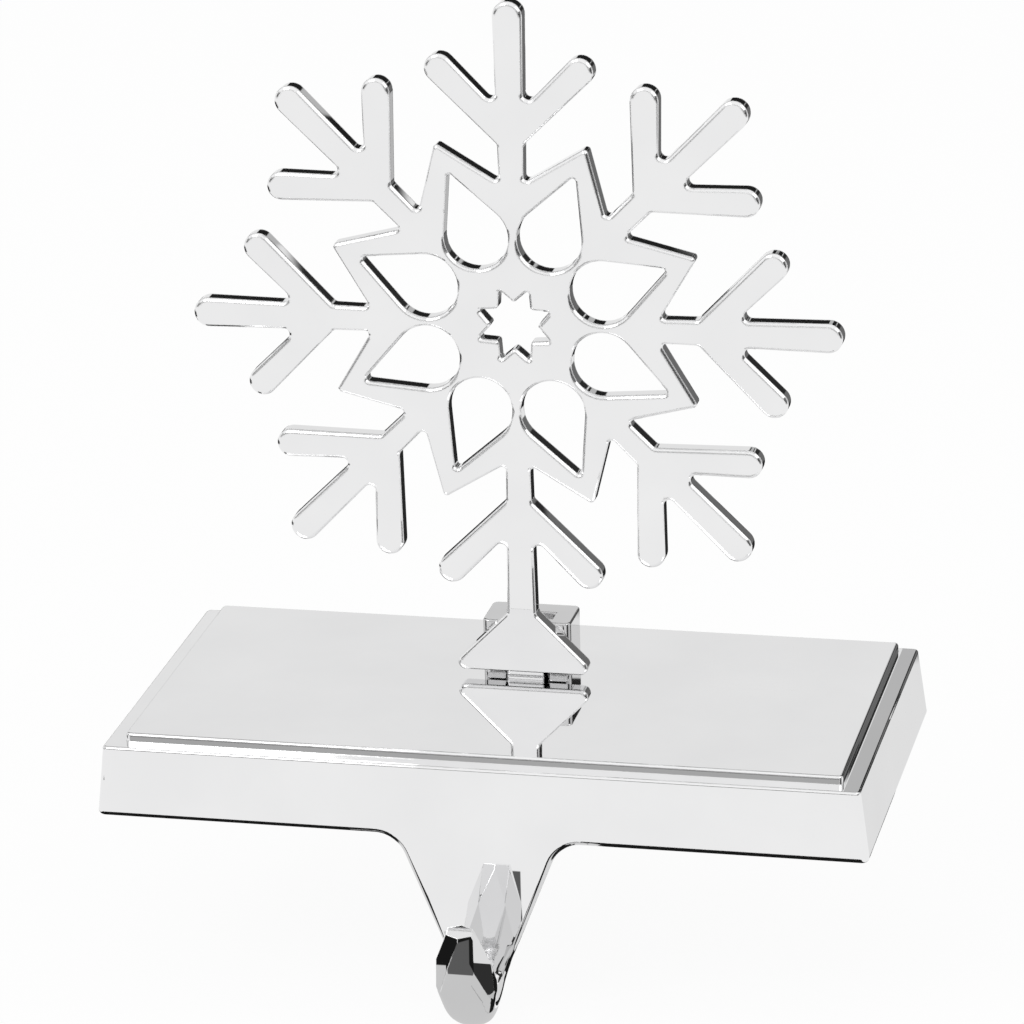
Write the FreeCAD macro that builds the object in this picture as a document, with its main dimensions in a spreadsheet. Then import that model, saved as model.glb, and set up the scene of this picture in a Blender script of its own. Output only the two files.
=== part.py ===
import FreeCAD, Part
import math
import os

import Sketcher

# Mantel stocking holder: a polished hollow base casting that sits on a mantel, with a V-shaped
# tab in front that ends in a faceted hook, and a removable snowflake held in a socket behind it.
# Frame: millimetres, +Z up, hook towards -Y, origin on the mantel's top under the ledge's middle.

SIZES = {
    # base casting
    "ledge_wide": 117.0,
    "ledge_deep": 60.6,
    "wall_tall": 11.45,
    "side_flare": 1.38,
    "back_flare": 1.45,
    "rim_corner": 1.2,
    "ledge_corner": 0.9,
    "shell_wall": 3.0,
    "ledge_skin": 2.2,
    "panel_rise": 1.3,
    "panel_side_margin": 3.0,
    "panel_front_margin": 2.8,
    "panel_back_margin": 1.0,
    "panel_corner": 0.8,
    "rim_round": 0.8,
    "top_round": 0.4,
    "rib_thick": 1.4,
    "rib_deep": 2.6,
    "rib_pitch": 19.0,
    # rubber feet and their bosses
    "foot_proud": 0.5,
    "foot_radius": 4.5,
    "foot_clearance": 0.1,
    "foot_recess": 1.0,
    "foot_edge": 0.3,
    "boss_wall": 1.0,
    "boss_inset": 8.5,
    # tab in front of the mantel
    "tab_half_top": 12.69,
    "tab_taper": 0.398,
    "tab_shoulder": 5.0,
    "tab_drop": 17.0,
    "tab_root": 2.5,
    # hook
    "hook_straight": 3.85,
    "curl_radius": 5.0,
    "curl_turn": 160.0,
    "leg_long": 13.95,
    "neck_half_wide": 4.4,
    "curl_half_wide": 3.3,
    "curl_half_deep": 2.3,
    "knob_half_wide": 4.9,
    "knob_half_deep": 3.3,
    "knob_girdle": 6.0,
    "knob_facets_long": 12.9,
    # socket block
    "block_wide": 14.0,
    "block_deep": 8.5,
    "block_tall": 8.6,
    "block_front": 6.85,
    "block_corner": 1.0,
    "block_edge": 0.3,
    "slot_neck_half": 3.05,
    "slot_head_half": 3.8,
    "slot_neck_deep": 2.05,
    "slot_deep": 4.6,
    "slot_lead": 0.8,
    # screws under the socket
    "screw_radius": 1.0,
    "screw_hole_clearance": 0.1,
    "screw_spread": 4.6,
    "screw_from_back": 2.05,
    "screw_bite": 4.5,
    "screw_head_radius": 1.9,
    "screw_head_tall": 1.4,
    "drive_wide": 0.5,
    "drive_long": 2.0,
    "drive_deep": 0.8,
    # snowflake
    "flake_high": 58.05,
    "flake_front": 3.8,
    "flake_thick": 3.0,
    "arm_root": 21.0,
    "arm_root_radius": 1.88,
    "arm_tip": 48.4,
    "arm_tip_radius": 2.3,
    "branch_root": 29.3,
    "branch_root_radius": 1.95,
    "branch_long": 15.3,
    "branch_tip_radius": 2.2,
    "star_point": 30.8,
    "star_valley": 21.4,
    "drop_centre": 14.9,
    "drop_radius": 5.05,
    "drop_tip": 24.95,
    "drop_tip_radius": 0.5,
    "hole_point": 6.1,
    "hole_notch": 3.6,
    "foot_half": 12.0,
    "foot_hover": 1.25,
    "branch_round": 0.9,
    "star_round": 0.6,
    "hole_point_round": 0.25,
    "hole_notch_round": 0.5,
    "toe_round": 1.2,
    "flake_edge": 0.35,
    "slide_clearance": 0.15,
    "tongue_tall": 7.0,
    "tongue_root": 1.0,
}
ARMS = 8
KNOB_SIDES = 6

doc = FreeCAD.newDocument("StockingHolder")
sheet = doc.addObject("Spreadsheet::Sheet", "Sizes")
for row, (alias, value) in enumerate(SIZES.items(), start=1):
    sheet.set("A%d" % row, alias)
    sheet.set("B%d" % row, "%g" % value)
    sheet.setAlias("B%d" % row, alias)
doc.recompute()

Vector = FreeCAD.Vector


def size(alias):
    """The number that the sheet holds under this name."""
    return float(getattr(sheet, alias))


def new_body(name):
    body = doc.addObject("PartDesign::Body", name)
    body.Label = name
    return body


def sketch_on(body, name, role, turn=None, **offsets):
    """A sketch on one of the body's own origin planes, moved along its own axes and turned."""
    sketch = body.newObject("Sketcher::SketchObject", name)
    planes = [plane for plane in body.Origin.OriginFeatures if plane.Role == role]
    sketch.AttachmentSupport = [(planes[0], "")]
    sketch.MapMode = "FlatFace"
    if turn is not None:
        sketch.AttachmentOffset = FreeCAD.Placement(Vector(), FreeCAD.Rotation(Vector(0, 0, 1), turn))
    for axis, expression in offsets.items():
        sketch.setExpression("AttachmentOffset.Base." + axis, expression)
    return sketch


def bind(sketch, constraint, name, expression):
    """Add a dimension and tie it to an expression of the sheet."""
    index = sketch.addConstraint(constraint)
    sketch.renameConstraint(index, name)
    sketch.setExpression("Constraints." + name, expression)


def round_rectangle(sketch, wide, deep, corner):
    """A rectangle about the sketch's origin with round corners, all sizes as expressions."""
    x, y, r = 20.0, 15.0, 2.0
    ends = [
        (Vector(-x + r, -y, 0), Vector(x - r, -y, 0)),
        (Vector(x, -y + r, 0), Vector(x, y - r, 0)),
        (Vector(x - r, y, 0), Vector(-x + r, y, 0)),
        (Vector(-x, y - r, 0), Vector(-x, -y + r, 0)),
    ]
    centres = [(x - r, -y + r), (x - r, y - r), (-x + r, y - r), (-x + r, -y + r)]
    for start, finish in ends:
        sketch.addGeometry(Part.LineSegment(start, finish), False)
    for turn, (cx, cy) in enumerate(centres):
        circle = Part.Circle(Vector(cx, cy, 0), Vector(0, 0, 1), r)
        start = -math.pi / 2 + turn * math.pi / 2
        sketch.addGeometry(Part.ArcOfCircle(circle, start, start + math.pi / 2), False)
    for turn in range(4):
        arc = 4 + turn
        following = (turn + 1) % 4
        sketch.addConstraint(Sketcher.Constraint("Tangent", turn, 2, arc, 1))
        sketch.addConstraint(Sketcher.Constraint("Tangent", arc, 2, following, 1))
    for level, plumb in ((0, 1), (2, 3)):
        sketch.addConstraint(Sketcher.Constraint("Horizontal", level))
        sketch.addConstraint(Sketcher.Constraint("Vertical", plumb))
    for arc in (5, 6, 7):
        sketch.addConstraint(Sketcher.Constraint("Equal", 4, arc))
    sketch.addConstraint(Sketcher.Constraint("Symmetric", 4, 3, 6, 3, -1, 1))
    bind(sketch, Sketcher.Constraint("DistanceX", 3, 1, 1, 1, 2 * x), "wide", wide)
    bind(sketch, Sketcher.Constraint("DistanceY", 0, 1, 2, 1, 2 * y), "deep", deep)
    bind(sketch, Sketcher.Constraint("Radius", 4, r), "corner", corner)


def polygon(sketch, corners):
    """A closed outline of straight lines; a corner is (x, y) as expressions, 0 when on an axis."""
    count = len(corners)
    starts = []
    for index in range(count):
        angle = 2 * math.pi * index / count
        starts.append(Vector(10 * math.cos(angle), 10 * math.sin(angle), 0))
    for index in range(count):
        sketch.addGeometry(Part.LineSegment(starts[index], starts[(index + 1) % count]), False)
    for index in range(count):
        before = (index - 1) % count
        sketch.addConstraint(Sketcher.Constraint("Coincident", before, 2, index, 1))
    for index, (across, along) in enumerate(corners):
        for kind, axis, expression, start in (
            ("DistanceX", -2, across, starts[index].x),
            ("DistanceY", -1, along, starts[index].y),
        ):
            if expression == 0:
                sketch.addConstraint(Sketcher.Constraint("PointOnObject", index, 1, axis))
            else:
                rule = Sketcher.Constraint(kind, -1, 1, index, 1, start)
                bind(sketch, rule, "%s_%d" % (kind[-1].lower(), index), expression)


def mirrored_polygon(sketch, half):
    """A closed outline from its right half, listed upwards; corners on the axis have 0 across."""
    other = [("-(%s)" % across, along) for across, along in reversed(half) if across != 0]
    polygon(sketch, half + other)


def tapered_slot(sketch, near, near_radius, far, far_radius):
    """Two circles on the sketch's vertical axis joined by their outer tangent lines."""
    y0, r0, y1, r1 = [size(alias) if alias else 0.0 for alias in (near, near_radius, far, far_radius)]
    lean = math.asin((r0 - r1) / (y1 - y0))
    side0 = Vector(r0 * math.cos(lean), y0 + r0 * math.sin(lean), 0)
    side1 = Vector(r1 * math.cos(lean), y1 + r1 * math.sin(lean), 0)
    up = Vector(0, 0, 1)
    far_circle = Part.Circle(Vector(0, y1, 0), up, r1)
    near_circle = Part.Circle(Vector(0, y0, 0), up, r0)
    sketch.addGeometry(Part.LineSegment(side0, side1), False)
    sketch.addGeometry(Part.ArcOfCircle(far_circle, lean, math.pi - lean), False)
    left1 = Vector(-side1.x, side1.y, 0)
    left0 = Vector(-side0.x, side0.y, 0)
    sketch.addGeometry(Part.LineSegment(left1, left0), False)
    sketch.addGeometry(Part.ArcOfCircle(near_circle, math.pi - lean, 2 * math.pi + lean), False)
    for first in range(4):
        second = (first + 1) % 4
        sketch.addConstraint(Sketcher.Constraint("Tangent", first, 2, second, 1))
    sketch.addConstraint(Sketcher.Constraint("PointOnObject", 1, 3, -2))
    if near:
        sketch.addConstraint(Sketcher.Constraint("PointOnObject", 3, 3, -2))
        rule = Sketcher.Constraint("DistanceY", -1, 1, 3, 3, y0)
        bind(sketch, rule, "near", "Sizes." + near)
    else:
        sketch.addConstraint(Sketcher.Constraint("Coincident", 3, 3, -1, 1))
    bind(sketch, Sketcher.Constraint("DistanceY", -1, 1, 1, 3, y1), "far", "Sizes." + far)
    bind(sketch, Sketcher.Constraint("Radius", 3, r0), "near_radius", "Sizes." + near_radius)
    bind(sketch, Sketcher.Constraint("Radius", 1, r1), "far_radius", "Sizes." + far_radius)


def circles(sketch, places, radius):
    """Equal circles at the listed places, given as expressions, 0 when on an axis."""
    for index, (across, along) in enumerate(places):
        start = Vector(20 if index % 2 else -20, 10 if index < 2 else -10, 0)
        sketch.addGeometry(Part.Circle(start, Vector(0, 0, 1), 2.0), False)
        bind(sketch, Sketcher.Constraint("Radius", index, 2.0), "radius_%d" % index, radius)
        rule = Sketcher.Constraint("DistanceX", -1, 1, index, 3, start.x)
        bind(sketch, rule, "x_%d" % index, across)
        if along == 0:
            sketch.addConstraint(Sketcher.Constraint("PointOnObject", index, 3, -1))
        else:
            rule = Sketcher.Constraint("DistanceY", -1, 1, index, 3, start.y)
            bind(sketch, rule, "y_%d" % index, along)


def pad(body, name, sketch, length, reverse=False):
    feature = body.newObject("PartDesign::Pad", name)
    feature.Profile = sketch
    feature.setExpression("Length", length)
    feature.Reversed = reverse
    feature.Refine = True
    doc.recompute()
    return feature


def pocket(body, name, sketch, depth, reverse=False):
    feature = body.newObject("PartDesign::Pocket", name)
    feature.Profile = sketch
    feature.setExpression("Length", depth)
    feature.Reversed = reverse
    feature.Refine = True
    doc.recompute()
    return feature


def loft(body, kind, name, profile, section):
    feature = body.newObject("PartDesign::" + kind, name)
    feature.Profile = profile
    feature.Sections = [section]
    feature.Ruled = True
    feature.Refine = True
    doc.recompute()
    return feature


def polar(body, name, originals, sketch, count):
    """Repeat features about the normal through a sketch's origin."""
    feature = body.newObject("PartDesign::PolarPattern", name)
    feature.Originals = originals
    feature.Axis = (sketch, ["N_Axis"])
    feature.Angle = 360
    feature.Occurrences = count
    feature.Refine = True
    body.Tip = feature
    doc.recompute()
    return feature


def fillet(body, name, radius, wanted):
    """Round the edges of the body's last feature that the test picks out."""
    tip = body.Tip
    numbers = ["Edge%d" % (n + 1) for n, edge in enumerate(tip.Shape.Edges) if wanted(edge)]
    feature = body.newObject("PartDesign::Fillet", name)
    feature.Base = (tip, numbers)
    feature.setExpression("Radius", radius)
    doc.recompute()
    return feature


def chamfer(body, name, width, wanted):
    """Break the edges of the body's last feature that the test picks out."""
    tip = body.Tip
    numbers = ["Edge%d" % (n + 1) for n, edge in enumerate(tip.Shape.Edges) if wanted(edge)]
    feature = body.newObject("PartDesign::Chamfer", name)
    feature.Base = (tip, numbers)
    feature.setExpression("Size", width)
    doc.recompute()
    return feature


def lies_at(edge, axis, value, slack=0.01):
    """True when the whole edge lies in the plane axis = value."""
    box = edge.BoundBox
    low = {"x": box.XMin, "y": box.YMin, "z": box.ZMin}[axis]
    high = {"x": box.XMax, "y": box.YMax, "z": box.ZMax}[axis]
    return abs(low - value) < slack and abs(high - value) < slack


# Base casting
rim_height = size("foot_proud")
ledge_height = rim_height + size("wall_tall")
panel_height = ledge_height + size("panel_rise")
front = -size("ledge_deep") / 2
RIM = "Sizes.foot_proud"
LEDGE = "Sizes.foot_proud + Sizes.wall_tall"
PANEL = LEDGE + " + Sizes.panel_rise"
CEILING = LEDGE + " - Sizes.ledge_skin"
CAVITY_TALL = "(Sizes.wall_tall - Sizes.ledge_skin)"
DRAFT = "(1 - %s / Sizes.wall_tall)" % CAVITY_TALL
FOOT_X = "(Sizes.ledge_wide / 2 + Sizes.side_flare - Sizes.boss_inset)"
FOOT_FRONT = "-(Sizes.ledge_deep / 2 - Sizes.boss_inset)"
FOOT_BACK = "(Sizes.ledge_deep / 2 + Sizes.back_flare - Sizes.boss_inset)"
FOOT_PLACES = [
    ("-" + FOOT_X, FOOT_BACK),
    (FOOT_X, FOOT_BACK),
    ("-" + FOOT_X, FOOT_FRONT),
    (FOOT_X, FOOT_FRONT),
]
SCREW_Y = "Sizes.block_front + Sizes.block_deep - Sizes.screw_from_back"

base = new_body("base_shell")

# The front wall is upright; the sides and the back lean out towards the rim.
rim = sketch_on(base, "rim_outline", "XY_Plane", y="Sizes.back_flare / 2", z=RIM)
round_rectangle(
    rim,
    "Sizes.ledge_wide + 2 * Sizes.side_flare",
    "Sizes.ledge_deep + Sizes.back_flare",
    "Sizes.rim_corner",
)
ledge = sketch_on(base, "ledge_outline", "XY_Plane", z=LEDGE)
round_rectangle(ledge, "Sizes.ledge_wide", "Sizes.ledge_deep", "Sizes.ledge_corner")
loft(base, "AdditiveLoft", "drafted_walls", rim, ledge)

panel_shift = "(Sizes.panel_front_margin - Sizes.panel_back_margin) / 2"
panel = sketch_on(base, "panel_outline", "XY_Plane", y=panel_shift, z=LEDGE)
round_rectangle(
    panel,
    "Sizes.ledge_wide - 2 * Sizes.panel_side_margin",
    "Sizes.ledge_deep - Sizes.panel_front_margin - Sizes.panel_back_margin",
    "Sizes.panel_corner",
)
pad(base, "raised_panel", panel, "Sizes.panel_rise")

cavity_rim = sketch_on(base, "cavity_rim", "XY_Plane", y="Sizes.back_flare / 2", z=RIM)
round_rectangle(
    cavity_rim,
    "Sizes.ledge_wide + 2 * Sizes.side_flare - 2 * Sizes.shell_wall",
    "Sizes.ledge_deep + Sizes.back_flare - 2 * Sizes.shell_wall",
    "Sizes.rim_corner",
)
ceiling_shift = "Sizes.back_flare / 2 * " + DRAFT
cavity_top = sketch_on(base, "cavity_ceiling", "XY_Plane", y=ceiling_shift, z=CEILING)
round_rectangle(
    cavity_top,
    "Sizes.ledge_wide + 2 * Sizes.side_flare * %s - 2 * Sizes.shell_wall" % DRAFT,
    "Sizes.ledge_deep + Sizes.back_flare * %s - 2 * Sizes.shell_wall" % DRAFT,
    "Sizes.ledge_corner",
)
loft(base, "SubtractiveLoft", "cavity", cavity_rim, cavity_top)

# Tab: a V that hangs from the front wall, as thick as the wall, with round shoulders.
tab = sketch_on(base, "tab_outline", "XZ_Plane", y=RIM, z="Sizes.ledge_deep / 2")
mirrored_polygon(
    tab,
    [
        ("Sizes.tab_half_top - Sizes.tab_taper * Sizes.tab_drop", "-Sizes.tab_drop"),
        ("Sizes.tab_half_top + Sizes.tab_taper * Sizes.tab_root", "Sizes.tab_root"),
    ],
)
pad(base, "tab", tab, "Sizes.shell_wall", reverse=True)


def is_shoulder(edge):
    """The short inner corner between the rim and one side of the tab."""
    box = edge.BoundBox
    across = abs(edge.CenterOfMass.x)
    return (
        lies_at(edge, "z", rim_height)
        and abs(box.YLength - size("shell_wall")) < 0.05
        and box.XLength < 0.05
        and abs(across - size("tab_half_top")) < 0.3
    )


fillet(base, "tab_shoulders", "Sizes.tab_shoulder", is_shoulder)


def tab_edge_test(depth):
    """The tab's side edges on one of its faces; the rim's edges run on from them smoothly."""

    def wanted(edge):
        box = edge.BoundBox
        return box.ZMax < rim_height + 0.01 and box.ZLength > 0.05 and lies_at(edge, "y", depth)

    return wanted


fillet(base, "outer_rim_edges", "Sizes.rim_round", tab_edge_test(front))
fillet(base, "inner_rim_edges", "Sizes.rim_round", tab_edge_test(front + size("shell_wall")))


def is_top_edge(edge):
    """The outer edge of the ledge and the edge of the panel's top."""
    if lies_at(edge, "z", panel_height):
        return True
    middle = edge.CenterOfMass
    outside_x = abs(middle.x) > size("ledge_wide") / 2 - 0.5
    outside_y = abs(middle.y) > size("ledge_deep") / 2 - 0.5
    return lies_at(edge, "z", ledge_height) and (outside_x or outside_y)


fillet(base, "top_edges", "Sizes.top_round", is_top_edge)

# Ribs under the ceiling keep the polished top flat.
rib = sketch_on(base, "rib_outline", "XY_Plane", z=CEILING)
rib_end = "(Sizes.ledge_deep / 2 - Sizes.shell_wall / 2)"
polygon(
    rib,
    [
        ("-2 * Sizes.rib_pitch - Sizes.rib_thick / 2", "-" + rib_end),
        ("-2 * Sizes.rib_pitch + Sizes.rib_thick / 2", "-" + rib_end),
        ("-2 * Sizes.rib_pitch + Sizes.rib_thick / 2", rib_end),
        ("-2 * Sizes.rib_pitch - Sizes.rib_thick / 2", rib_end),
    ],
)
first_rib = pad(base, "first_rib", rib, "Sizes.rib_deep", reverse=True)
ribs = base.newObject("PartDesign::LinearPattern", "ribs")
ribs.Originals = [first_rib]
ribs.Direction = (rib, ["H_Axis"])
ribs.setExpression("Length", "4 * Sizes.rib_pitch")
ribs.Occurrences = 5
ribs.Refine = True
base.Tip = ribs
doc.recompute()

# Corner bosses with shallow recesses for the rubber feet.
bosses = sketch_on(base, "boss_outline", "XY_Plane", z=RIM)
hole_radius = "Sizes.foot_radius + Sizes.foot_clearance"
circles(bosses, FOOT_PLACES, hole_radius + " + Sizes.boss_wall")
pad(base, "foot_bosses", bosses, CAVITY_TALL)
recesses = sketch_on(base, "recess_outline", "XY_Plane", z=RIM)
circles(recesses, FOOT_PLACES, hole_radius)
pocket(base, "foot_recesses", recesses, "Sizes.foot_recess", reverse=True)

# Two clearance holes let the socket's screws through the top.
screw_holes = sketch_on(base, "screw_hole_outline", "XY_Plane", y=SCREW_Y, z=PANEL)
circles(
    screw_holes,
    [("-Sizes.screw_spread", 0), ("Sizes.screw_spread", 0)],
    "Sizes.screw_radius + Sizes.screw_hole_clearance",
)
pocket(base, "screw_holes", screw_holes, "Sizes.panel_rise + Sizes.ledge_skin")


# Hook: a skin through closed sections along a J-shaped centreline
def hook_station(distance):
    """Point, outward direction and direction of travel at a distance down the centreline."""
    straight, radius = size("hook_straight"), size("curl_radius")
    curl = radius * math.radians(size("curl_turn"))
    angle = min(max(distance - straight, 0.0), curl) / radius
    past = min(distance - straight, 0.0) + max(distance - straight - curl, 0.0)
    middle = Vector(
        0,
        front + size("shell_wall") / 2 - radius,
        rim_height - size("tab_drop") - straight,
    )
    outward = Vector(0, math.cos(angle), -math.sin(angle))
    along = Vector(0, -math.sin(angle), -math.cos(angle))
    return middle + outward * radius + along * past, outward, along


def hook_section(station, half_wide, half_deep, power):
    """A superellipse about a station, as eight curves that meet smoothly."""
    point, outward, _ = station

    def spot(angle):
        cosine, sine = math.cos(angle), math.sin(angle)
        across = half_wide * math.copysign(abs(cosine) ** (2 / power), cosine)
        deep = half_deep * math.copysign(abs(sine) ** (2 / power), sine)
        return point + Vector(across, 0, 0) + outward * deep

    def heading(angle):
        step = 1e-4
        return (spot(angle + step) - spot(angle - step)).normalize()

    breaks = [math.radians(turn) for turn in (20, 45, 135, 160, 200, 225, 315, 340, 380)]
    edges = []
    for start, finish in zip(breaks, breaks[1:]):
        first, last = spot(start), spot(finish)
        leave, arrive = heading(start), heading(finish)
        bulge = spot((start + finish) / 2) - (first + last) * 0.5
        pull = (leave - arrive) * 0.375
        handle = bulge.dot(pull) / pull.dot(pull)
        curve = Part.BezierCurve()
        curve.setPoles([first, first + leave * handle, last - arrive * handle, last])
        edges.append(curve.toShape())
    return Part.Wire(edges)


def hook_profile():
    """Half-width, half-depth and squareness of the hook at distances down its centreline."""
    straight = size("hook_straight")
    curl = size("curl_radius") * math.radians(size("curl_turn"))
    leg = size("leg_long")
    thick = size("shell_wall") / 2
    tab_half = size("tab_half_top") - size("tab_taper") * size("tab_drop")
    neck = size("neck_half_wide")
    curl_wide, curl_deep = size("curl_half_wide"), size("curl_half_deep")
    wide_more = size("knob_half_wide") - curl_wide
    deep_more = size("knob_half_deep") - curl_deep
    knee = straight + curl
    return [
        (0.0, tab_half, thick, 8.0),
        (straight, neck, thick, 3.4),
        (straight + curl / 4, (neck + 4 * curl_wide) / 5, (2 * thick + curl_deep) / 3, 2.6),
        (straight + curl * 0.56, curl_wide, curl_deep, 2.2),
        (straight + curl * 0.81, curl_wide + 0.25 * wide_more, curl_deep + 0.4 * deep_more, 2.1),
        (knee, curl_wide + 0.56 * wide_more, curl_deep + 0.7 * deep_more, 2.0),
        (knee + 0.22 * leg, curl_wide + 0.9 * wide_more, curl_deep + 0.93 * deep_more, 2.0),
        (knee + 0.45 * leg, curl_wide + wide_more, curl_deep + deep_more, 2.0),
        (knee + leg + 1.5, curl_wide + wide_more, curl_deep + deep_more, 2.0),
    ]


def smooth_value(table, column, distance):
    """Monotone cubic through one column of a table whose first column is the distance."""
    spots = [row[0] for row in table]
    values = [row[column] for row in table]
    slopes = [(v1 - v0) / (s1 - s0) for s0, s1, v0, v1 in zip(spots, spots[1:], values, values[1:])]
    tangents = [slopes[0]]
    for before, after in zip(slopes, slopes[1:]):
        tangents.append(0.0 if before * after <= 0 else 2 * before * after / (before + after))
    tangents.append(slopes[-1])
    for index in range(len(slopes)):
        if distance <= spots[index + 1] or index == len(slopes) - 1:
            width = spots[index + 1] - spots[index]
            share = (distance - spots[index]) / width
            low = (1 + 2 * share) * (1 - share) ** 2 * values[index]
            high = share ** 2 * (3 - 2 * share) * values[index + 1]
            leave = share * (1 - share) ** 2 * width * tangents[index]
            arrive = share ** 2 * (share - 1) * width * tangents[index + 1]
            return low + high + leave + arrive


def hook_sections():
    """Evenly spaced sections from just under the tab, round the curl, to past the knob's cap."""
    table = hook_profile()
    length = table[-1][0]
    steps = 30
    sections = []
    for step in range(1, steps + 1):
        distance = length * step / steps
        values = [smooth_value(table, column, distance) for column in (1, 2, 3)]
        sections.append(hook_section(hook_station(distance), *values))
    return sections


def end_wire(shape, height):
    """The outline of the tab's flat lower end."""
    for face in shape.Faces:
        box = face.BoundBox
        if box.ZLength < 1e-4 and abs(box.ZMin - height) < 1e-3 and face.normalAt(0, 0).z < 0:
            return face.OuterWire
    raise ValueError("the tab has no flat lower end")


def outer_side(origin, axes, normal, offset):
    """A large box on the outer side of a plane that is given in the knob's own axes."""
    length = normal.Length
    spot = Vector(normal) * (offset / length ** 2)
    world_spot = origin + axes[0] * spot.x + axes[1] * spot.y + axes[2] * spot.z
    world_normal = axes[0] * normal.x + axes[1] * normal.y + axes[2] * normal.z
    box = Part.makeBox(80, 80, 40, Vector(-40, -40, 0))
    box.Placement = FreeCAD.Placement(world_spot, FreeCAD.Rotation(Vector(0, 0, 1), world_normal))
    return box


def knob_planes():
    """Facet planes: turn in degrees, then reach at the cap and its growth per millimetre."""
    girdle = size("knob_girdle")
    step = 360.0 / KNOB_SIDES
    half = math.cos(math.radians(step / 2))
    cap_reach, girdle_reach, kite_top = 0.39, 0.86, 0.7
    crown = (girdle_reach - cap_reach) / girdle
    kite_reach = (cap_reach + crown * kite_top) / half
    kite = (girdle_reach * half - kite_reach) / (girdle - kite_top)
    skirt = 0.012
    planes = []
    for side in range(KNOB_SIDES):
        planes.append((90 + side * step, kite_reach - kite * kite_top, kite))
        planes.append((90 + (side + 0.5) * step, cap_reach, crown))
        planes.append((90 + (side + 0.5) * step, girdle_reach - skirt * girdle, skirt))
    return planes


def knob_offcut():
    """What the facets take away: a block round the knob less the convex gem inside it."""
    curl = size("curl_radius") * math.radians(size("curl_turn"))
    cap, outward, along = hook_station(size("hook_straight") + curl + size("leg_long"))
    axes = (Vector(1, 0, 0), outward, along * -1)
    wide, deep = size("knob_half_wide"), size("knob_half_deep")
    block = Part.makeBox(20, 12, size("knob_facets_long") + 4, Vector(-10, -6, -4))
    turn = FreeCAD.Matrix(
        axes[0].x, axes[1].x, axes[2].x, cap.x,
        axes[0].y, axes[1].y, axes[2].y, cap.y,
        axes[0].z, axes[1].z, axes[2].z, cap.z,
        0, 0, 0, 1,
    )
    if turn.determinant() < 0:
        axes = (Vector(-1, 0, 0), outward, along * -1)
        turn = FreeCAD.Matrix(
            axes[0].x, axes[1].x, axes[2].x, cap.x,
            axes[0].y, axes[1].y, axes[2].y, cap.y,
            axes[0].z, axes[1].z, axes[2].z, cap.z,
            0, 0, 0, 1,
        )
    block.Placement = FreeCAD.Placement(turn)
    gem = block.cut(outer_side(cap, axes, Vector(0, 0, -1), 0.0))
    for degrees, reach, growth in knob_planes():
        angle = math.radians(degrees)
        normal = Vector(math.cos(angle) / wide, math.sin(angle) / deep, -growth)
        gem = gem.cut(outer_side(cap, axes, normal, reach))
    return block.cut(gem)


doc.recompute()
first = end_wire(base.Shape, rim_height - size("tab_drop"))
wires = [first] + hook_sections()
smooth_hook = Part.makeLoft(wires, True, False)
hook = doc.addObject("Part::Feature", "hook")
hook.Shape = smooth_hook.cut(knob_offcut())

casting = doc.addObject("Part::Fuse", "base_with_hook")
casting.Base = base
casting.Tool = hook
casting.Refine = True
casting.Label = "base_with_hook"
doc.recompute()

# Socket block
block = new_body("socket_block")
block.setExpression("Placement.Base.y", "Sizes.block_front")
block.setExpression("Placement.Base.z", PANEL)
block_outline = sketch_on(block, "block_outline", "XY_Plane", y="Sizes.block_deep / 2")
round_rectangle(block_outline, "Sizes.block_wide", "Sizes.block_deep", "Sizes.block_corner")
pad(block, "block", block_outline, "Sizes.block_tall")
slot = sketch_on(block, "slot_outline", "XY_Plane")
mirrored_polygon(
    slot,
    [
        ("Sizes.slot_neck_half", "-1 * Sizes.slot_lead"),
        ("Sizes.slot_neck_half", "Sizes.slot_neck_deep"),
        ("Sizes.slot_head_half", "Sizes.slot_neck_deep"),
        ("Sizes.slot_head_half", "Sizes.slot_deep"),
    ],
)
pocket(block, "slot", slot, "Sizes.block_tall", reverse=True)


def is_slot_mouth(edge):
    """The long upright edges where the slot breaks the block's front."""
    box = edge.BoundBox
    across = abs(edge.CenterOfMass.x)
    return box.ZLength > 2 and box.YMax < 0.01 and abs(across - size("slot_neck_half")) < 0.01


fillet(block, "slot_lead_in", "Sizes.slot_lead", is_slot_mouth)
fillet(
    block,
    "block_edges",
    "Sizes.block_edge",
    lambda edge: lies_at(edge, "z", size("block_tall")),
)
screw_bores = sketch_on(block, "screw_bore_outline", "XY_Plane", y="Sizes.block_deep - Sizes.screw_from_back")
circles(
    screw_bores,
    [("-Sizes.screw_spread", 0), ("Sizes.screw_spread", 0)],
    "Sizes.screw_radius",
)
pocket(block, "screw_bores", screw_bores, "Sizes.screw_bite + 0.5", reverse=True)


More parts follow.
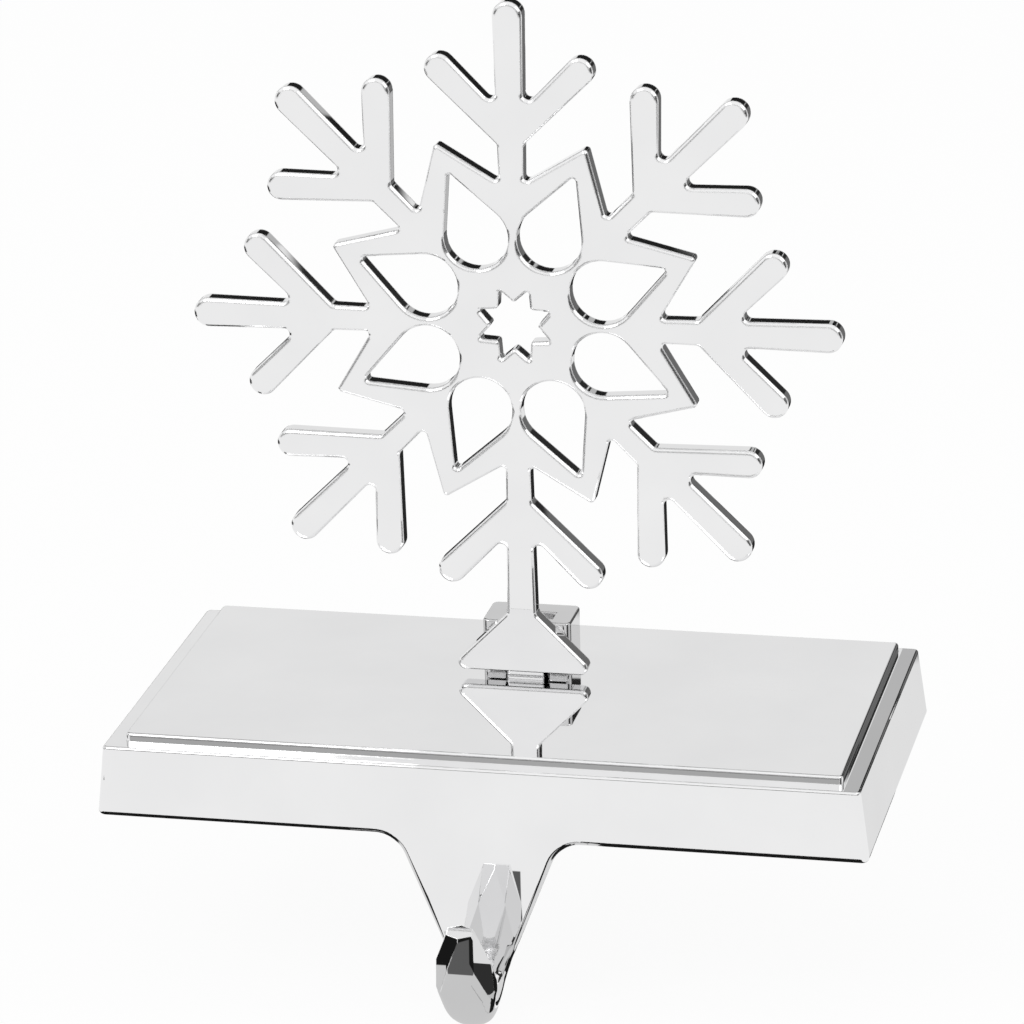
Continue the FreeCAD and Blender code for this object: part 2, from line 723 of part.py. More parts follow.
# Screws
def socket_screw(name, side):
    """A pan-head screw that comes up through the skin into the block."""
    screw = new_body(name)
    screw.setExpression("Placement.Base.x", "%d * Sizes.screw_spread" % side)
    screw.setExpression("Placement.Base.y", SCREW_Y)
    screw.setExpression("Placement.Base.z", CEILING)
    head = sketch_on(screw, name + "_head", "XY_Plane")
    head.addGeometry(Part.Circle(Vector(), Vector(0, 0, 1), 2.0), False)
    head.addConstraint(Sketcher.Constraint("Coincident", 0, 3, -1, 1))
    bind(head, Sketcher.Constraint("Radius", 0, 2.0), "radius", "Sizes.screw_head_radius")
    pad(screw, name + "_pan", head, "Sizes.screw_head_tall", reverse=True)
    chamfer(
        screw,
        name + "_dome",
        "Sizes.screw_head_tall * 0.35",
        lambda edge: lies_at(edge, "z", -size("screw_head_tall")),
    )
    shank = sketch_on(screw, name + "_shank", "XY_Plane")
    shank.addGeometry(Part.Circle(Vector(), Vector(0, 0, 1), 1.0), False)
    shank.addConstraint(Sketcher.Constraint("Coincident", 0, 3, -1, 1))
    bind(shank, Sketcher.Constraint("Radius", 0, 1.0), "radius", "Sizes.screw_radius")
    length = "Sizes.panel_rise + Sizes.ledge_skin + Sizes.screw_bite"
    pad(screw, name + "_thread", shank, length)
    drive = sketch_on(screw, name + "_drive", "XY_Plane", z="-Sizes.screw_head_tall")
    wing = "Sizes.drive_long / 2"
    slim = "Sizes.drive_wide / 2"
    polygon(
        drive,
        [
            (wing, slim), (slim, slim), (slim, wing), ("-" + slim, wing),
            ("-" + slim, slim), ("-" + wing, slim), ("-" + wing, "-" + slim), ("-" + slim, "-" + slim),
            ("-" + slim, "-" + wing), (slim, "-" + wing), (slim, "-" + slim), (wing, "-" + slim),
        ],
    )
    pocket(screw, name + "_recess", drive, "Sizes.drive_deep", reverse=True)
    return screw


screws = doc.addObject("Part::Compound", "socket_screws")
screws.Links = [socket_screw("screw_left", -1), socket_screw("screw_right", 1)]
screws.Label = "socket_screws"

# Rubber feet
feet = []
for number, (across, along) in enumerate(FOOT_PLACES):
    disc = doc.addObject("Part::Cylinder", "foot_disc_%d" % number)
    disc.setExpression("Radius", "Sizes.foot_radius")
    disc.setExpression("Height", "Sizes.foot_proud + Sizes.foot_recess")
    disc.setExpression("Placement.Base.x", across)
    disc.setExpression("Placement.Base.y", along)
    doc.recompute()
    rounded = doc.addObject("Part::Chamfer", "foot_pad_%d" % number)
    rounded.Base = disc
    radius = size("foot_edge")
    bottom = [n + 1 for n, edge in enumerate(disc.Shape.Edges) if lies_at(edge, "z", 0.0)]
    rounded.Edges = [(n, radius, radius) for n in bottom]
    feet.append(rounded)
rubber = doc.addObject("Part::Compound", "rubber_feet")
rubber.Links = feet
rubber.Label = "rubber_feet"

# Snowflake: arms, branches and star are padded once and repeated about the centre
flake = new_body("snowflake")
flake.setExpression("Placement.Base.y", "Sizes.flake_front")
flake.setExpression("Placement.Base.z", PANEL + " + Sizes.flake_high")
def upright(edge):
    """True for the edges that run straight through the flake's thickness."""
    box = edge.BoundBox
    return box.XLength < 1e-3 and box.ZLength < 1e-3 and box.YLength > size("flake_thick") - 0.01


def reach_and_turn(edge):
    """Distance from the flake's centre and angle to the nearest arm, in degrees."""
    middle = edge.CenterOfMass
    reach = math.hypot(middle.x, middle.z)
    angle = math.degrees(math.atan2(middle.x, middle.z))
    step = 360.0 / ARMS
    return reach, abs((angle + step / 2) % step - step / 2)


def corner_test(lowest, highest, turn_low, turn_high):
    """A test for upright edges between two circles and two angles from an arm."""

    def wanted(edge):
        if not upright(edge):
            return False
        reach, turn = reach_and_turn(edge)
        return lowest < reach < highest and turn_low <= turn < turn_high

    return wanted


star = sketch_on(flake, "star_outline", "XZ_Plane")
star_corners = []
for index in range(2 * ARMS):
    degrees = index * 180.0 / ARMS
    reach = "Sizes.star_valley" if index % 2 == 0 else "Sizes.star_point"
    across = 0 if index % ARMS == 0 else "%s * sin(%g)" % (reach, degrees)
    along = 0 if index % ARMS == ARMS // 2 else "%s * cos(%g)" % (reach, degrees)
    star_corners.append((across, along))
polygon(star, star_corners)
pad(flake, "star", star, "Sizes.flake_thick", reverse=True)

hub = sketch_on(flake, "hub_outline", "XZ_Plane")
hub_corners = []
for index in range(2 * ARMS):
    degrees = index * 180.0 / ARMS
    reach = "Sizes.hole_notch" if index % 2 == 0 else "Sizes.hole_point"
    across = 0 if index % ARMS == 0 else "%s * sin(%g)" % (reach, degrees)
    along = 0 if index % ARMS == ARMS // 2 else "%s * cos(%g)" % (reach, degrees)
    hub_corners.append((across, along))
polygon(hub, hub_corners)
pocket(flake, "hub_hole", hub, "Sizes.flake_thick")
inner, outer = size("hole_notch"), size("hole_point")
middle = (inner + outer) / 2
fillet(flake, "hub_notches", "Sizes.hole_notch_round", corner_test(inner - 1, middle, 0, 8))
fillet(flake, "hub_points", "Sizes.hole_point_round", corner_test(middle, outer + 1, 20, 23))

arm = sketch_on(flake, "arm_outline", "XZ_Plane")
tapered_slot(arm, "arm_root", "arm_root_radius", "arm_tip", "arm_tip_radius")
originals = [pad(flake, "arm", arm, "Sizes.flake_thick", reverse=True)]
for label, turn in (("left", 45.0), ("right", -45.0)):
    branch = sketch_on(flake, "branch_outline_" + label, "XZ_Plane", turn=turn, y="Sizes.branch_root")
    tapered_slot(branch, "", "branch_root_radius", "branch_long", "branch_tip_radius")
    originals.append(pad(flake, "branch_" + label, branch, "Sizes.flake_thick", reverse=True))
polar(flake, "arms", originals, arm, ARMS)

# The foot spreads from the lowest arm at 45 degrees.
foot = sketch_on(flake, "foot_outline", "XZ_Plane")
foot_floor = "-(Sizes.flake_high - Sizes.foot_hover)"
mirrored_polygon(
    foot,
    [
        ("Sizes.foot_half", foot_floor),
        (0, "-(Sizes.flake_high - Sizes.foot_hover - Sizes.foot_half)"),
    ],
)
pad(flake, "foot", foot, "Sizes.flake_thick", reverse=True)


# Round the corners of the outline
root, valley, point = size("branch_root"), size("star_valley"), size("star_point")
is_crotch = corner_test(root - 3, root + 1, 0.5, 8)
is_notch = corner_test(root + 2, root + 8, 0.5, 8)
is_valley = corner_test(valley, valley + 3, 0.5, 8)
is_point = corner_test(point - 1, point + 1, 20, 23)


def is_flare(edge):
    """Where the foot's flanks leave the lowest arm."""
    middle = edge.CenterOfMass
    top = -size("flake_high") + size("foot_hover") + size("foot_half")
    return upright(edge) and top - 5 < middle.z < top and abs(middle.x) < 4


def is_toe(edge):
    return upright(edge) and edge.CenterOfMass.z < -size("flake_high") + size("foot_hover") + 0.1


fillet(
    flake,
    "branch_rounds",
    "Sizes.branch_round",
    lambda edge: is_crotch(edge) or is_notch(edge) or is_flare(edge),
)
fillet(flake, "star_rounds", "Sizes.star_round", lambda edge: is_valley(edge) or is_point(edge))
fillet(flake, "foot_toes", "Sizes.toe_round", is_toe)

drop = sketch_on(flake, "drop_outline", "XZ_Plane", turn=180.0 / ARMS)
tapered_slot(drop, "drop_centre", "drop_radius", "drop_tip", "drop_tip_radius")
first_drop = pocket(flake, "drop", drop, "Sizes.flake_thick")
polar(flake, "drops", [first_drop], star, ARMS)


def on_either_face(edge):
    return lies_at(edge, "y", 0.0) or lies_at(edge, "y", size("flake_thick"))


chamfer(flake, "face_edges", "Sizes.flake_edge", on_either_face)

# The tongue behind the foot slides down into the socket and stands on the panel.
tongue = sketch_on(flake, "tongue_outline", "XY_Plane", z="-Sizes.flake_high")
neck_half = "Sizes.slot_neck_half - Sizes.slide_clearance"
head_half = "Sizes.slot_head_half - Sizes.slide_clearance"
to_block = "Sizes.block_front - Sizes.flake_front"
head_front = to_block + " + Sizes.slot_neck_deep + Sizes.slide_clearance"
head_back = to_block + " + Sizes.slot_deep - Sizes.slide_clearance"
mirrored_polygon(
    tongue,
    [
        (neck_half, "Sizes.flake_thick - Sizes.tongue_root"),
        (neck_half, head_front),
        (head_half, head_front),
        (head_half, head_back),
    ],
)
pad(flake, "tongue", tongue, "Sizes.tongue_tall")

doc.recompute()

# Check and write
for item in doc.Objects:
    if "Invalid" in item.State or "Error" in item.State:
        raise ValueError("%s did not build: %s" % (item.Name, item.State))
os.makedirs("parts", exist_ok=True)
for item in (casting, block, screws, rubber, flake):
    shape = item.Shape
    if shape.isNull() or not shape.isValid():
        raise ValueError("%s has no valid shape" % item.Label)
    shape.exportStep("parts/%s.step" % item.Label)
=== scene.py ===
import math

import bpy
from mathutils import Matrix, Vector

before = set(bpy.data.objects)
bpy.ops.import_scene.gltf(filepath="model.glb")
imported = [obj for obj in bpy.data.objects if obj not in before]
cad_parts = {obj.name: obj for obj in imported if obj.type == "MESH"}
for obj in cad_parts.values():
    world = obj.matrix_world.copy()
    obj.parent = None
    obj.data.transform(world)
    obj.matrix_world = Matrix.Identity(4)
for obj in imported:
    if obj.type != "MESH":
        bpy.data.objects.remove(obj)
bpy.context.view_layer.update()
MM = 0.001
bpy.context.scene.view_settings.view_transform = "Standard"


# Node helpers
def new_material(name):
    material = bpy.data.materials.new(name)
    material.use_nodes = True
    tree = material.node_tree
    tree.nodes.clear()
    output = tree.nodes.new("ShaderNodeOutputMaterial")
    return material, tree, output


def noise(tree, coordinates, scale, detail=3.0, roughness=0.5):
    node = tree.nodes.new("ShaderNodeTexNoise")
    node.inputs["Scale"].default_value = scale
    node.inputs["Detail"].default_value = detail
    node.inputs["Roughness"].default_value = roughness
    tree.links.new(coordinates, node.inputs["Vector"])
    return node.outputs["Fac"]


def remap(tree, value, low, high, start=0.3, stop=0.7):
    node = tree.nodes.new("ShaderNodeMapRange")
    node.inputs["From Min"].default_value = start
    node.inputs["From Max"].default_value = stop
    node.inputs["To Min"].default_value = low
    node.inputs["To Max"].default_value = high
    tree.links.new(value, node.inputs["Value"])
    return node.outputs["Result"]


def bump(tree, height, distance, strength=1.0, normal=None):
    node = tree.nodes.new("ShaderNodeBump")
    node.inputs["Strength"].default_value = strength
    node.inputs["Distance"].default_value = distance
    tree.links.new(height, node.inputs["Height"])
    if normal is not None:
        tree.links.new(normal, node.inputs["Normal"])
    return node.outputs["Normal"]


def lerp(tree, value, low, high, start, stop):
    """Value from start..stop carried smoothly to low..high."""
    node = tree.nodes.new("ShaderNodeMapRange")
    node.interpolation_type = "SMOOTHSTEP"
    node.inputs["From Min"].default_value = start
    node.inputs["From Max"].default_value = stop
    node.inputs["To Min"].default_value = low
    node.inputs["To Max"].default_value = high
    tree.links.new(value, node.inputs["Value"])
    return node.outputs["Result"]


def maths(tree, operation, *values):
    """One math node; each value is a socket or a number."""
    node = tree.nodes.new("ShaderNodeMath")
    node.operation = operation
    for index, value in enumerate(values):
        if isinstance(value, (int, float)):
            node.inputs[index].default_value = value
        else:
            tree.links.new(value, node.inputs[index])
    return node.outputs[0]


# Materials
SATIN_BACK = 0.3        # roughness added on faces that look back, which are left unpolished
HAZE_LOW, HAZE_HIGH, SPECKS = 0.008, 0.02, 0.008
WAVE_DEPTH, WAVE_STRENGTH = 0.12 * MM, 0.5
EDGE_SAMPLES = 8


def chrome(name, edge_radius, dull, bright, drafted=False):
    """Polished plating: near-mirror, a little wavy, with faint haze and soft edges."""
    material, tree, output = new_material(name)
    shader = tree.nodes.new("ShaderNodeBsdfPrincipled")
    shader.inputs["Metallic"].default_value = 1.0
    place = tree.nodes.new("ShaderNodeTexCoord").outputs["Object"]
    haze = noise(tree, place, 60.0, 4.0)
    specks = noise(tree, place, 900.0, 2.0)
    tint = tree.nodes.new("ShaderNodeMix")
    tint.data_type = "RGBA"
    tint.inputs[6].default_value = (dull, dull, dull * 1.005, 1)
    tint.inputs[7].default_value = (bright, bright, bright * 1.003, 1)
    tree.links.new(remap(tree, haze, 0.0, 1.0), tint.inputs[0])
    tree.links.new(tint.outputs[2], shader.inputs["Base Color"])
    smear = maths(
        tree,
        "ADD",
        remap(tree, haze, HAZE_LOW, HAZE_HIGH),
        remap(tree, specks, 0.0, SPECKS),
    )
    facing = tree.nodes.new("ShaderNodeSeparateXYZ")
    face = tree.nodes.new("ShaderNodeNewGeometry").outputs["True Normal"]
    tree.links.new(face, facing.inputs[0])
    satin = lerp(tree, facing.outputs["Y"], 0.0, SATIN_BACK, 0.9, 0.95)
    tree.links.new(maths(tree, "ADD", smear, satin), shader.inputs["Roughness"])
    soft_edge = tree.nodes.new("ShaderNodeBevel")
    soft_edge.samples = EDGE_SAMPLES
    soft_edge.inputs["Radius"].default_value = edge_radius
    normal = soft_edge.outputs["Normal"]
    if drafted:
        normal = casting_draft(tree, place, normal)
    waves = noise(tree, place, 22.0, 1.0)
    normal = bump(tree, waves, WAVE_DEPTH, WAVE_STRENGTH, normal)
    tree.links.new(normal, shader.inputs["Normal"])
    tree.links.new(shader.outputs[0], output.inputs["Surface"])
    return material


# heights of the panel's step and of the ledge, and how far their normals lean
STEP_LOW, STEP_HIGH, STEP_LEAN = 12.05 * MM, 12.88 * MM, 0.2
LEDGE_LOW, LEDGE_HIGH, LEDGE_INNER, LEDGE_LEAN = 11.8 * MM, 12.0 * MM, 56.0 * MM, 0.08


def casting_draft(tree, place, normal):
    """Casting draft: the step's sides lean back, and the end ledges fall away outwards."""
    split = tree.nodes.new("ShaderNodeSeparateXYZ")
    tree.links.new(place, split.inputs[0])
    x, z = split.outputs["X"], split.outputs["Z"]
    on_step = maths(
        tree,
        "MULTIPLY",
        maths(tree, "GREATER_THAN", z, STEP_LOW),
        maths(tree, "LESS_THAN", z, STEP_HIGH),
    )
    on_ledge = maths(
        tree,
        "MULTIPLY",
        maths(tree, "GREATER_THAN", z, LEDGE_LOW),
        maths(tree, "LESS_THAN", z, LEDGE_HIGH),
    )
    at_end = maths(tree, "GREATER_THAN", maths(tree, "ABSOLUTE", x), LEDGE_INNER)
    outward = maths(tree, "MULTIPLY", maths(tree, "SIGN", x), LEDGE_LEAN)
    tilt = tree.nodes.new("ShaderNodeCombineXYZ")
    end_ledge = maths(tree, "MULTIPLY", on_ledge, at_end)
    tree.links.new(maths(tree, "MULTIPLY", end_ledge, outward), tilt.inputs["X"])
    tree.links.new(maths(tree, "MULTIPLY", on_step, STEP_LEAN), tilt.inputs["Z"])
    total = tree.nodes.new("ShaderNodeVectorMath")
    total.operation = "ADD"
    tree.links.new(normal, total.inputs[0])
    tree.links.new(tilt.outputs[0], total.inputs[1])
    unit = tree.nodes.new("ShaderNodeVectorMath")
    unit.operation = "NORMALIZE"
    tree.links.new(total.outputs[0], unit.inputs[0])
    return unit.outputs[0]


def rubber():
    """Matt black rubber with a fine grain and a dusty bloom."""
    material, tree, output = new_material("foot_rubber")
    shader = tree.nodes.new("ShaderNodeBsdfPrincipled")
    place = tree.nodes.new("ShaderNodeTexCoord").outputs["Object"]
    grain = noise(tree, place, 2500.0, 3.0)
    dust = noise(tree, place, 220.0, 4.0)
    tint = tree.nodes.new("ShaderNodeMix")
    tint.data_type = "RGBA"
    tint.inputs[6].default_value = (0.022, 0.022, 0.023, 1)
    tint.inputs[7].default_value = (0.05, 0.049, 0.047, 1)
    tree.links.new(remap(tree, dust, 0.0, 1.0), tint.inputs[0])
    tree.links.new(tint.outputs[2], shader.inputs["Base Color"])
    tree.links.new(remap(tree, grain, 0.6, 0.85), shader.inputs["Roughness"])
    tree.links.new(bump(tree, grain, 0.00006, 0.6), shader.inputs["Normal"])
    tree.links.new(shader.outputs[0], output.inputs["Surface"])
    return material


def screw_steel():
    """Plated screw steel with turning marks round each head."""
    material, tree, output = new_material("screw_steel")
    shader = tree.nodes.new("ShaderNodeBsdfPrincipled")
    shader.inputs["Metallic"].default_value = 1.0
    place = tree.nodes.new("ShaderNodeTexCoord").outputs["Object"]
    stretch = tree.nodes.new("ShaderNodeMapping")
    stretch.inputs["Scale"].default_value = (1.0, 1.0, 12.0)
    tree.links.new(place, stretch.inputs["Vector"])
    marks = noise(tree, stretch.outputs[0], 1400.0, 3.0)
    blotches = noise(tree, place, 300.0, 3.0)
    tint = tree.nodes.new("ShaderNodeMix")
    tint.data_type = "RGBA"
    tint.inputs[6].default_value = (0.52, 0.52, 0.53, 1)
    tint.inputs[7].default_value = (0.66, 0.66, 0.665, 1)
    tree.links.new(remap(tree, blotches, 0.0, 1.0), tint.inputs[0])
    tree.links.new(tint.outputs[2], shader.inputs["Base Color"])
    tree.links.new(remap(tree, marks, 0.22, 0.4), shader.inputs["Roughness"])
    tree.links.new(bump(tree, marks, 0.00004, 0.5), shader.inputs["Normal"])
    tree.links.new(shader.outputs[0], output.inputs["Surface"])
    return material


BRIGHT_PLATING = (0.86, 0.895)
# painted shade: a darker copy of the same plating, for the socket block under the snowflake's
# foot
PAINTED_SHADE_PLATING = (0.63, 0.68)
finishes = {
    "base_with_hook": chrome("base_plating", 0.15 * MM, *BRIGHT_PLATING, True),
    "snowflake": chrome("snowflake_plating", 0.5 * MM, *BRIGHT_PLATING),
    # the socket block gets the darker copy of the plating: painted shade
    "socket_block": chrome("block_plating_painted_shade", 0.3 * MM, *PAINTED_SHADE_PLATING),
    "socket_screws": screw_steel(),
    "rubber_feet": rubber(),
}
for name, material in finishes.items():
    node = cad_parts[name]
    if not node.material_slots:
        node.data.materials.append(material)
    for slot in node.material_slots:
        slot.material = material

# Camera: fitted to the photograph's corners and outlines
AZIMUTH, ELEVATION, ROLL = 12.916, 19.490, -1.459
FOCAL_PX, IMAGE_PX, SENSOR_MM = 5258.8, 1024.0, 36.0
FIT_SCALE = 0.97533     # the fit's unit in millimetres
SIDE_SHIFT, UP_SHIFT, DISTANCE = [v * FIT_SCALE for v in (-0.904, 28.257, 839.37)]
PANEL_TOP = 13.25       # millimetres
CLIP_NEAR, CLIP_FAR = 0.05, 20.0


def photo_camera():
    a, e, r = [math.radians(v) for v in (AZIMUTH, ELEVATION, ROLL)]
    back = Vector((math.sin(a) * math.cos(e), -math.cos(a) * math.cos(e), math.sin(e)))
    right = (-back).cross(Vector((0, 0, 1))).normalized()
    up = right.cross(-back)
    right, up = (
        right * math.cos(r) + up * math.sin(r),
        up * math.cos(r) - right * math.sin(r),
    )
    place = right * SIDE_SHIFT + up * UP_SHIFT + back * DISTANCE + Vector((0, 0, PANEL_TOP))
    data = bpy.data.cameras.new("photo_camera")
    data.sensor_width = SENSOR_MM
    data.lens = FOCAL_PX * SENSOR_MM / IMAGE_PX
    data.clip_start, data.clip_end = CLIP_NEAR, CLIP_FAR
    camera = bpy.data.objects.new("photo_camera", data)
    bpy.context.collection.objects.link(camera)
    turn = Matrix((right, up, back)).transposed().to_4x4()
    camera.matrix_world = Matrix.Translation(place * MM) @ turn
    bpy.context.scene.camera = camera


photo_camera()


# World: white to the camera, and a pale studio in the plating
AMBIENT = 0.75
BACK_SHADE, RIGHT_SHADE = 0.84, 0.8


def white_world():
    world = bpy.data.worlds.new("studio")
    world.use_nodes = True
    tree = world.node_tree
    tree.nodes.clear()
    output = tree.nodes.new("ShaderNodeOutputWorld")
    path = tree.nodes.new("ShaderNodeLightPath")
    seen = tree.nodes.new("ShaderNodeBackground")
    seen.inputs["Color"].default_value = (1, 1, 1, 1)
    light = tree.nodes.new("ShaderNodeBackground")
    light.inputs["Color"].default_value = (AMBIENT, AMBIENT, AMBIENT, 1)
    mirrored = tree.nodes.new("ShaderNodeBackground")
    split = tree.nodes.new("ShaderNodeSeparateXYZ")
    tree.links.new(tree.nodes.new("ShaderNodeTexCoord").outputs["Generated"], split.inputs[0])
    to_back = lerp(tree, split.outputs["Y"], 1.0, BACK_SHADE, -0.1, 0.6)
    to_right = lerp(tree, split.outputs["X"], 1.0, RIGHT_SHADE, 0.3, 0.9)
    tree.links.new(maths(tree, "MULTIPLY", to_back, to_right), mirrored.inputs["Color"])
    glossy = tree.nodes.new("ShaderNodeMixShader")
    tree.links.new(path.outputs["Is Glossy Ray"], glossy.inputs[0])
    tree.links.new(light.outputs[0], glossy.inputs[1])
    tree.links.new(mirrored.outputs[0], glossy.inputs[2])
    clear = maths(
        tree,
        "MAXIMUM",
        path.outputs["Is Camera Ray"],
        path.outputs["Is Transmission Ray"],
    )
    final = tree.nodes.new("ShaderNodeMixShader")
    tree.links.new(clear, final.inputs[0])
    tree.links.new(glossy.outputs[0], final.inputs[1])
    tree.links.new(seen.outputs[0], final.inputs[2])
    tree.links.new(final.outputs[0], output.inputs["Surface"])
    bpy.context.scene.world = world


white_world()

# Floor and reflected cards
FLOOR, FLOOR_HALF = -28.5 * MM, 3.0
FLOOR_SEEN = 0.94       # share of plain white in the floor that the camera sees
FLOOR_MIRRORED = 0.94   # shade of the floor in the plating


def sheet(name, centre, across, along):
    """A flat sheet: a square of half-side 1, stretched to its two half-edges in metres."""
    mesh = bpy.data.meshes.new(name)
    mesh.from_pydata([(-1, -1, 0), (1, -1, 0), (1, 1, 0), (-1, 1, 0)], [], [(0, 1, 2, 3)])
    piece = bpy.data.objects.new(name, mesh)
    bpy.context.collection.objects.link(piece)
    across, along = Vector(across), Vector(along)
    face = across.cross(along).normalized()
    turn = Matrix((across, along, face)).transposed().to_4x4()
    piece.matrix_world = Matrix.Translation(centre) @ turn
    return piece


def pale_floor():
    """A pale floor: all but white to the camera, with a trace of the object's shadow.

    From below it is clear, so that the underside can be seen."""
    floor = sheet("floor", (0, 0, FLOOR), (FLOOR_HALF, 0, 0), (0, FLOOR_HALF, 0))
    material, tree, output = new_material("floor_white")
    diffuse = tree.nodes.new("ShaderNodeBsdfDiffuse")
    place = tree.nodes.new("ShaderNodeTexCoord").outputs["Object"]
    mottle = tree.nodes.new("ShaderNodeMix")
    mottle.data_type = "RGBA"
    mottle.inputs[6].default_value = (0.88, 0.88, 0.88, 1)
    mottle.inputs[7].default_value = (0.92, 0.92, 0.92, 1)
    tree.links.new(noise(tree, place, 24.0), mottle.inputs[0])
    tree.links.new(mottle.outputs[2], diffuse.inputs["Color"])
    white = tree.nodes.new("ShaderNodeEmission")
    white.inputs["Color"].default_value = (1, 1, 1, 1)
    mirrored = tree.nodes.new("ShaderNodeEmission")
    mirrored.inputs["Color"].default_value = (FLOOR_MIRRORED, FLOOR_MIRRORED, FLOOR_MIRRORED, 1)
    path = tree.nodes.new("ShaderNodeLightPath")
    share = maths(tree, "MULTIPLY", path.outputs["Is Camera Ray"], FLOOR_SEEN)
    seen = tree.nodes.new("ShaderNodeMixShader")
    tree.links.new(share, seen.inputs[0])
    tree.links.new(diffuse.outputs[0], seen.inputs[1])
    tree.links.new(white.outputs[0], seen.inputs[2])
    final = tree.nodes.new("ShaderNodeMixShader")
    tree.links.new(path.outputs["Is Glossy Ray"], final.inputs[0])
    tree.links.new(seen.outputs[0], final.inputs[1])
    tree.links.new(mirrored.outputs[0], final.inputs[2])
    below = tree.nodes.new("ShaderNodeNewGeometry").outputs["Backfacing"]
    from_below = tree.nodes.new("ShaderNodeMixShader")
    clear = tree.nodes.new("ShaderNodeBsdfTransparent")
    tree.links.new(below, from_below.inputs[0])
    tree.links.new(final.outputs[0], from_below.inputs[1])
    tree.links.new(clear.outputs[0], from_below.inputs[2])
    tree.links.new(from_below.outputs[0], output.inputs["Surface"])
    floor.data.materials.append(material)


def card(name, centre, across, along, shade, soft=0.05):
    """A card that only the plating's reflections see, its rim fading over a share of its size."""
    piece = sheet(name, centre, across, along)
    material, tree, output = new_material(name)
    glow = tree.nodes.new("ShaderNodeEmission")
    glow.inputs["Color"].default_value = (shade, shade, shade, 1)
    split = tree.nodes.new("ShaderNodeSeparateXYZ")
    tree.links.new(tree.nodes.new("ShaderNodeTexCoord").outputs["Object"], split.inputs[0])
    sides = []
    for axis in ("X", "Y"):
        reach = maths(tree, "ABSOLUTE", split.outputs[axis])
        sides.append(lerp(tree, reach, 1.0, 0.0, 1.0 - soft, 1.0))
    clear = tree.nodes.new("ShaderNodeBsdfTransparent")
    final = tree.nodes.new("ShaderNodeMixShader")
    tree.links.new(maths(tree, "MULTIPLY", *sides), final.inputs[0])
    tree.links.new(clear.outputs[0], final.inputs[1])
    tree.links.new(glow.outputs[0], final.inputs[2])
    tree.links.new(final.outputs[0], output.inputs["Surface"])
    piece.data.materials.append(material)
    piece.visible_camera = False
    piece.visible_diffuse = False
    piece.visible_shadow = False
    piece.visible_transmission = False


# The cards' places are in millimetres; a shade is 0 for black and 1 for white.
def flat_card(name, x_low, x_high, y_low, y_high, height, shade, soft=0.05):
    """A card that lies flat at a height."""
    centre = ((x_low + x_high) / 2 * MM, (y_low + y_high) / 2 * MM, height * MM)
    across, along = ((x_high - x_low) / 2 * MM, 0, 0), (0, (y_high - y_low) / 2 * MM, 0)
    card(name, centre, across, along, shade, soft)


def wall_card(name, x_low, x_high, z_low, z_high, depth, shade, soft=0.05):
    """A card that stands across the view at a depth."""
    centre = ((x_low + x_high) / 2 * MM, depth * MM, (z_low + z_high) / 2 * MM)
    across, along = ((x_high - x_low) / 2 * MM, 0, 0), (0, 0, (z_high - z_low) / 2 * MM)
    card(name, centre, across, along, shade, soft)


def side_card(name, y_low, y_high, z_low, z_high, side, shade, soft=0.05):
    """A card that stands along the view at a side."""
    centre = (side * MM, (y_low + y_high) / 2 * MM, (z_low + z_high) / 2 * MM)
    across, along = (0, (y_high - y_low) / 2 * MM, 0), (0, 0, (z_high - z_low) / 2 * MM)
    card(name, centre, across, along, shade, soft)


pale_floor()
# dark flags behind: in the walls that face up and to the right
flat_card("flag_behind_low", -380, 200, 138, 560, -28.2, 0.02)
wall_card("flag_behind_high", -460, 360, 160, 300, 300, 0.015)
wall_card("flag_behind_right", 50, 300, -28, 160, 301, 0.025)
wall_card("flag_behind_edge", 16, 56, -28, 190, 299, 0.5)
# a grey flag for the right-hand side of the panel's step
wall_card("flag_step_side", 60, 190, -28, 108, 290, 0.15, 0.02)
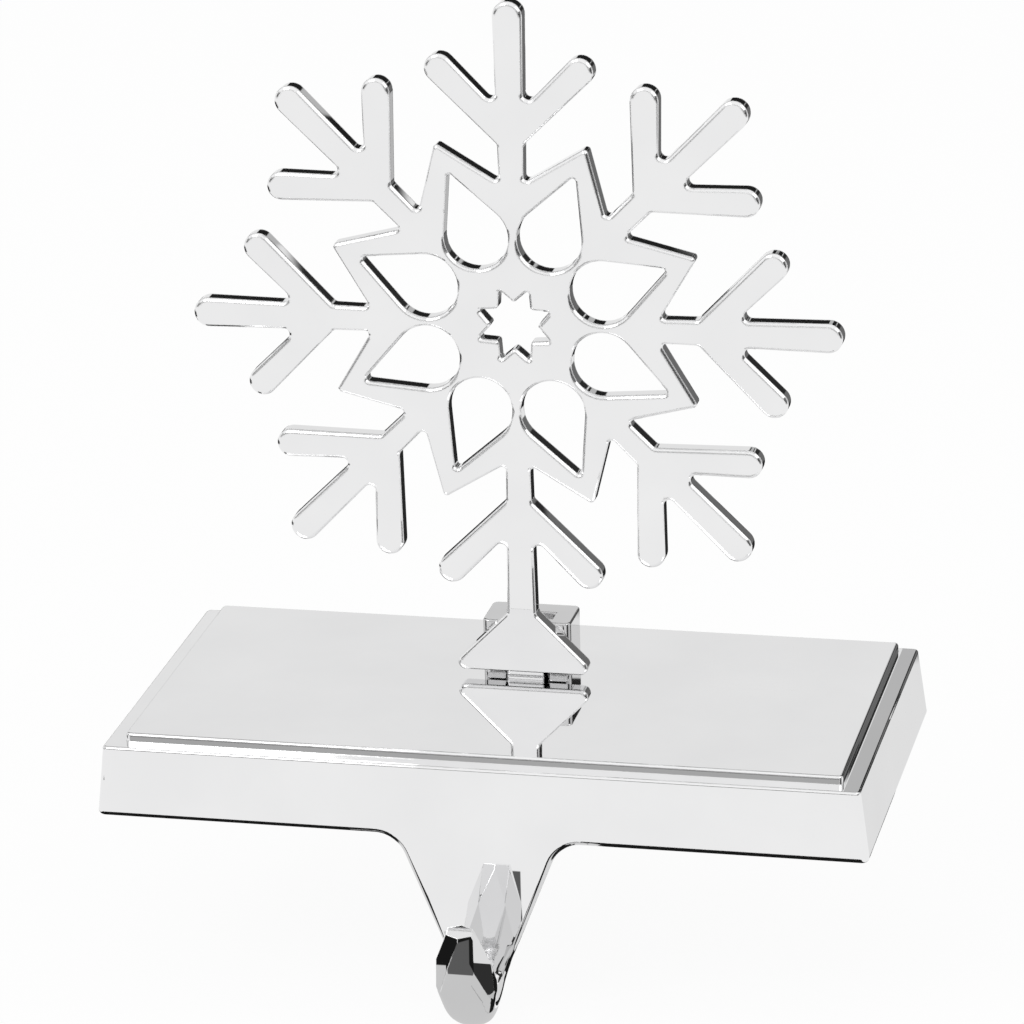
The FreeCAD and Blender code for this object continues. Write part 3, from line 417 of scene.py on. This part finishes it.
# dark flags at both sides, in the outlines of the snowflake
flat_card("flag_left_low", -420, -205, -150, 320, -28.25, 0.03)
side_card("flag_left", -330, -60, 70, 260, -420, 0.03)
side_card("flag_right", -420, -60, -24, 260, 420, 0.08)
# a grey patch of floor for the base's right-hand wall
flat_card("floor_right", 60, 91, 30, 150, -28.3, 0.79, 0.1)
# a light for the socket's right-hand side
wall_card("card_socket", 15, 30, 26, 43, 80, 0.84)
# dark flags under the base, in its lower edge
flat_card("flag_under_left", -96, -18, -72, 64, -28.1, 0.01, 0.03)
flat_card("flag_under_right", 5, 66, -91, 64, -28.1, 0.01, 0.02)
# a dark band in front at the horizon, and a grey one below it for the step's sides
wall_card("band_front_dark", -520, 420, 26, 125, -500, 0.03)
wall_card("band_front_grey", -520, 420, -1, 26, -501, 0.42)
# small cards round the hook, for its facets and the tab's edges
flat_card("hook_light", -13, 6, -59, -28, -28.0, 0.62)
flat_card("hook_light_right", 5.5, 13, -59, -37, -28.0, 0.62)
flat_card("hook_left_light", -27, -13, -37, -31, -27.95, 0.62)
side_card("hook_right_upper", -47, -34, -17.5, -9, 9, 0.8, 0.02)
side_card("hook_right_middle", -47, -34, -23, -17.5, 9, 0.03, 0.02)
side_card("hook_right_lower", -47, -34, -28.4, -23, 9, 0.55, 0.02)
wall_card("hook_front_dark", -3, 3, -19.5, -11.3, -46.5, 0.11)
side_card("tab_left_light", -35, -8, -28.4, -4, -15, 0.75)
side_card("tab_right_light", -36, -8, -28.4, -4, 13, 0.75)


# Lamps
def soft_lamp(name, place, aim, size, watts):
    data = bpy.data.lights.new(name, "AREA")
    data.shape = "DISK"
    data.size = size
    data.energy = watts
    lamp = bpy.data.objects.new(name, data)
    bpy.context.collection.objects.link(lamp)
    lamp.location = place
    lamp.rotation_mode = "QUATERNION"
    lamp.rotation_quaternion = (Vector(aim) - Vector(place)).to_track_quat("-Z", "Y")


LAMP_AIM = (0, 0, 0.04)
soft_lamp("key_lamp", (-0.6, -0.8, 1.0), LAMP_AIM, 0.6, 4.0)
soft_lamp("fill_lamp", (0.9, -0.4, 0.7), LAMP_AIM, 0.7, 1.5)
